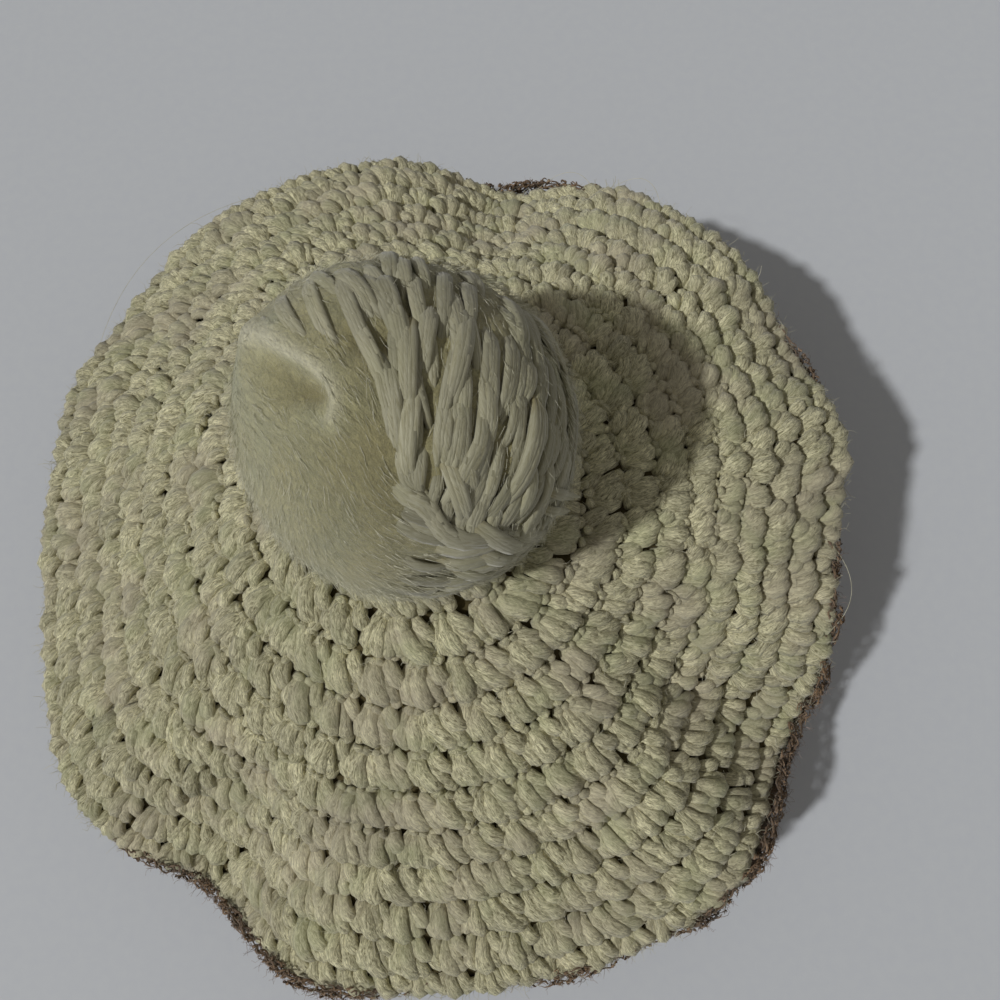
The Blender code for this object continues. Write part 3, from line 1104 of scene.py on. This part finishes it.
def yarn_material(name, light, dark, dust, moss, sheen, relief, stretch, root=None):
    """Acrylic yarn, loosely spun. Its fibres run at a slant along the strand in tufts 0.7 mm wide
    and stretch times as long, which gives the eye fine streaks, and their ends a soft sheen.
    light and dark are the tops and the grooves between tufts, the fibres' own streaks with a painted
    highlight on the tops and painted shade in the grooves, dust and moss tinges over patches about
    21 and 12 mm wide, root a painted shade where a pompom's strands start among the others."""
    material, tree, shader = blank_material(name)
    place = node(tree, "ShaderNodeTexCoord", "Object", {})
    tufts = streaks(tree, across=0.7143, stretch=stretch, detail=5.0, roughness=0.75, distortion=1.2)
    # The tufts' tops get a painted highlight and the grooves between them painted shade, over the
    # fibres' own streaks
    colour = turning(tree, tufts, 0.37, 0.63, dark, light)
    tinges = (
        # tinge, width of a patch, from, to, most
        (dust, 20.83 * MM, 0.46, 0.66, 0.5),
        (moss, 12.05 * MM, 0.50, 0.68, 0.4),
    )
    for tinge, patch, low, high, most in tinges:
        cloud = node(tree, "ShaderNodeTexNoise", "Fac", {"Vector": place, "Scale": 1 / patch})
        colour = turning(tree, cloud, low, high, colour, tinge, most)
    # Painted shade where the strands start, among the others inside the pompom
    if root:
        along = node(tree, "ShaderNodeAttribute", "Fac", {"attribute_name": "along"})
        colour = turning(tree, along, 0.0, 0.25, root, colour)
    tint = node(tree, "ShaderNodeAttribute", "Fac", {"attribute_name": "tint"})
    colour = node(tree, "ShaderNodeHueSaturation", "Color", {"Value": tint, "Color": colour})
    fluffed = woolly(
        tree, tufts, depth=0.6 * MM, strength=relief, ends=0.6667 * MM, ends_depth=0.25 * MM,
        ends_strength=relief,
    )
    finish_yarn(tree, shader, colour, fluffed, sheen)
    return material


def felt_material(name, painted_highlight, light, root, dust):
    """Acrylic yarn ends felted into one soft mass, with a darker and yellower painted shade where it
    is parted and in its hollows, and a painted highlight on the curled lock. Wisps 1.1 mm wide give
    the eye its woolly face, and dust tinges it over patches about 17 mm wide."""
    material, tree, shader = blank_material(name)
    place = node(tree, "ShaderNodeTexCoord", "Object", {})
    along = node(tree, "ShaderNodeAttribute", "Fac", {"attribute_name": "along"})
    cloud = node(tree, "ShaderNodeTexNoise", "Fac", {"Vector": place, "Scale": 1 / (16.67 * MM)})
    colour = turning(tree, cloud, 0.4, 0.66, light, dust, most=0.6)
    # Painted shade where the face is parted and in its hollows, and a painted highlight on the
    # curled lock
    colour = turning(tree, along, 0.0, 0.9, root, colour)
    colour = turning(tree, along, 0.95, 1.4, colour, painted_highlight)
    wisps = streaks(tree, across=1.111, stretch=2.5, detail=6.0, roughness=0.85, distortion=0.8)
    shades = {"Value": wisps, "From Min": 0.36, "From Max": 0.64, "To Min": 0.76, "To Max": 1.24}
    shade = node(tree, "ShaderNodeMapRange", "Result", shades)
    colour = node(tree, "ShaderNodeHueSaturation", "Color", {"Value": shade, "Color": colour})
    fluffed = woolly(
        tree, wisps, depth=0.9 * MM, strength=0.8, ends=0.7692 * MM, ends_depth=0.5 * MM,
        ends_strength=0.9,
    )
    finish_yarn(tree, shader, colour, fluffed, sheen=0.4)
    return material


def plain_material(name, light, dark, patch, roughness):
    """Matt, its tone changing softly over patches that wide. It gives the eye a faint unevenness:
    of single fibres too fine to shade, of yarn seen only in shadow and of the board's paint."""
    material, tree, shader = blank_material(name)
    place = node(tree, "ShaderNodeTexCoord", "Object", {})
    clouds = {"Vector": place, "Scale": 1 / patch, "Detail": 3.0}
    cloud = node(tree, "ShaderNodeTexNoise", "Fac", clouds)
    fit_out(tree, shader, {
        "Base Color": turning(tree, cloud, 0.35, 0.65, dark, light),
        "Roughness": roughness,
        "Specular IOR Level": 0.2,
    })
    return material


def make_camera():
    """The photograph's viewpoint: close, high and a little to the near side."""
    data = bpy.data.cameras.new("camera")
    data.angle = math.radians(CAMERA_VIEW)
    data.clip_start = 5 * MM
    camera = placed("camera", data)
    turned = Matrix([Vector(axis) for axis in (RIGHT, UP, BACK)]).transposed().to_4x4()
    camera.matrix_world = Matrix.Translation(Vector(EYE)) @ turned
    bpy.context.scene.camera = camera


def make_lights():
    """A key light from the lower left of the picture and a soft even fill."""
    heading = math.radians(23)
    height = math.radians(49.5)
    data = bpy.data.lights.new("key", "SUN")
    data.energy = 1.85
    data.angle = math.radians(3)
    data.color = (0.985, 0.99, 1.0)
    key = placed("key", data)
    travel = Vector((
        math.cos(heading) * math.cos(height),
        math.sin(heading) * math.cos(height),
        -math.sin(height),
    ))
    key.rotation_mode = "QUATERNION"
    key.rotation_quaternion = travel.to_track_quat("-Z", "Y")
    world = bpy.data.worlds.new("soft_room")
    world.use_nodes = True
    world.node_tree.nodes["Background"].inputs["Color"].default_value = (1.0, 0.97, 0.93, 1.0)
    world.node_tree.nodes["Background"].inputs["Strength"].default_value = 0.2
    bpy.context.scene.world = world
    bpy.context.scene.view_settings.view_transform = "Standard"


def make_floor():
    """The pale board that the hat lies on."""
    shape = bmesh.new()
    bmesh.ops.create_grid(shape, x_segments=1, y_segments=1, size=2.0)
    mesh = finished_mesh("board", shape)
    paint = plain_material(
        "pale_painted_board", "#CACDD0", "#C8CBCF", patch=3.846 * MM, roughness=0.6
    )
    mesh.materials.append(paint)
    placed("board", mesh)


def belong(slot, stands_for, *things):
    """Ties pieces to the hat's one body and hides the solid named by stands_for. slot is not used.
    """
    for thing in things:
        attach(thing, "root")
    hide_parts(stands_for)


def make_crown(cream, hole_shade, fibre):
    """The cream rounds in three meshes, the dark layer of painted shade behind them, their inside
    and their fuzz.
    """
    belong(
        "cream_yarn",
        "crown",
        lay_stitches("crown_inner_rounds", 0, INNER_END, RIGHT_SIDE, cream),
        lay_stitches("crown_middle_rounds", INNER_END, MIDDLE_END, RIGHT_SIDE, cream),
        lay_stitches("crown_outer_rounds", MIDDLE_END, CROWN_ROUNDS, RIGHT_SIDE, cream),
        lay_stitches("crown_inside", 0, INSIDE_END, WRONG_SIDE, cream, rings=5, inside=True),
        # A dark layer behind the cream stitches: painted shade seen through the holes
        fabric_backing("crown_backing_painted_shade", hole_shade, 0.0, CROWN_ROUNDS, thickness=1.0 * MM),
        fabric_fuzz(
            "crown_fuzz", fibre, count=4000, first=3.0, last=13.0, length=2.5 * MM, stand=0.3,
            rings=3,
        ),
        fabric_fuzz(
            "rim_fuzz", fibre, count=2000, first=12.2, last=13.4, length=4.0 * MM, stand=0.6,
            rings=4, curl=0.7,
        ),
        long_fibres(fibre),
    )


def make_underside(brown, hole_shade, fibre):
    """The brown rounds that return to the band, and the fuzz where they show below the rim."""
    belong(
        "brown_yarn",
        "underside",
        lay_stitches(
            "underside_rounds", CROWN_ROUNDS, UNDER_END, PLAIN_SIDE, brown, rings=6, peeking=True
        ),
        edge_tangle(2000, brown),
        # A dark layer behind the underside's stitches: painted shade seen through the holes
        fabric_backing("underside_backing_painted_shade", hole_shade, 13.05, 18.2, thickness=2.2 * MM),
        fabric_fuzz(
            "underside_fuzz", fibre, count=2400, first=12.8, last=13.7, length=3.0 * MM, stand=0.5,
            rings=4, curl=0.9, peeking=True,
        ),
    )


def make_band(brown, hole_shade):
    """The head band's rounds, outside and inside."""
    belong(
        "brown_yarn",
        "band",
        lay_stitches("band_rounds", UNDER_END, BAND_END, PLAIN_SIDE, brown, rings=7),
        lay_stitches("band_inside", UNDER_END, BAND_END, WRONG_SIDE, brown, rings=7, inside=True),
        # A dark layer behind the band's stitches: painted shade seen through the holes
        fabric_backing("band_backing_painted_shade", hole_shade, 18.1, 20.9, thickness=2.0 * MM, depth=3.0 * MM),
    )


def make_pompom(yarn, felt, fibre):
    """The pompom's strands, its packed inside and its felted ends."""
    belong(
        "pompom_yarn",
        "pompom",
        pompom_strands(yarn),
        pompom_laid(yarn),
        pompom_core(felt),
        pompom_fuzz(fibre),
    )


ROUND_PLAN = plan_rounds()
make_camera()
make_lights()
make_floor()
make_crown(
    yarn_material(
        "cream_acrylic_yarn", light="#F5EFC6", dark="#777150", dust="#BBB099", moss="#AFB386",
        sheen=0.25, relief=0.75, stretch=2.6,
    ),
    # A dark material, painted shade in the holes between the cream stitches
    plain_material("cream_yarn_painted_shade_in_holes", "#5A5136", "#3E3722", patch=2.5 * MM, roughness=0.95),
    plain_material("cream_fibre", "#D8D4BD", "#BCB89E", patch=3.333 * MM, roughness=0.6),
)
make_underside(
    yarn_material(
        "brown_acrylic_yarn", light="#A88660", dark="#5A4530", dust="#857566", moss="#6E5C48",
        sheen=0.3, relief=0.9, stretch=2.6,
    ),
    # A dark material, painted shade in the holes between the brown stitches
    plain_material("brown_yarn_painted_shade_in_holes", "#4E3B2A", "#3A2C20", patch=2.5 * MM, roughness=0.95),
    plain_material("brown_fibre", "#B3A29A", "#85705F", patch=3.333 * MM, roughness=0.6),
)
make_band(bpy.data.materials["brown_acrylic_yarn"], bpy.data.materials["brown_yarn_painted_shade_in_holes"])
make_pompom(
    # Its root colour is painted shade where the strands start among the others
    yarn_material(
        "pompom_acrylic_yarn", light="#B0AD94", dark="#8F8A6C", dust="#9E9A84", moss="#989676",
        sheen=0.35, relief=0.35, stretch=9.0, root="#8F8250",
    ),
    # The felt's root colour is painted shade in its partings and hollows, and its lightest colour a
    # painted highlight on the curled lock
    felt_material(
        "felted_pompom_yarn", painted_highlight="#E8E3C2", light="#C2BC8E", root="#7F713A", dust="#ADB090"
    ),
    # Near white: the fibre ends' pale tone with painted glints on the pompom
    plain_material("felted_pompom_ends_painted_glints", "#EAE7D2", "#C2BFA2", patch=1.111 * MM, roughness=0.7),
)
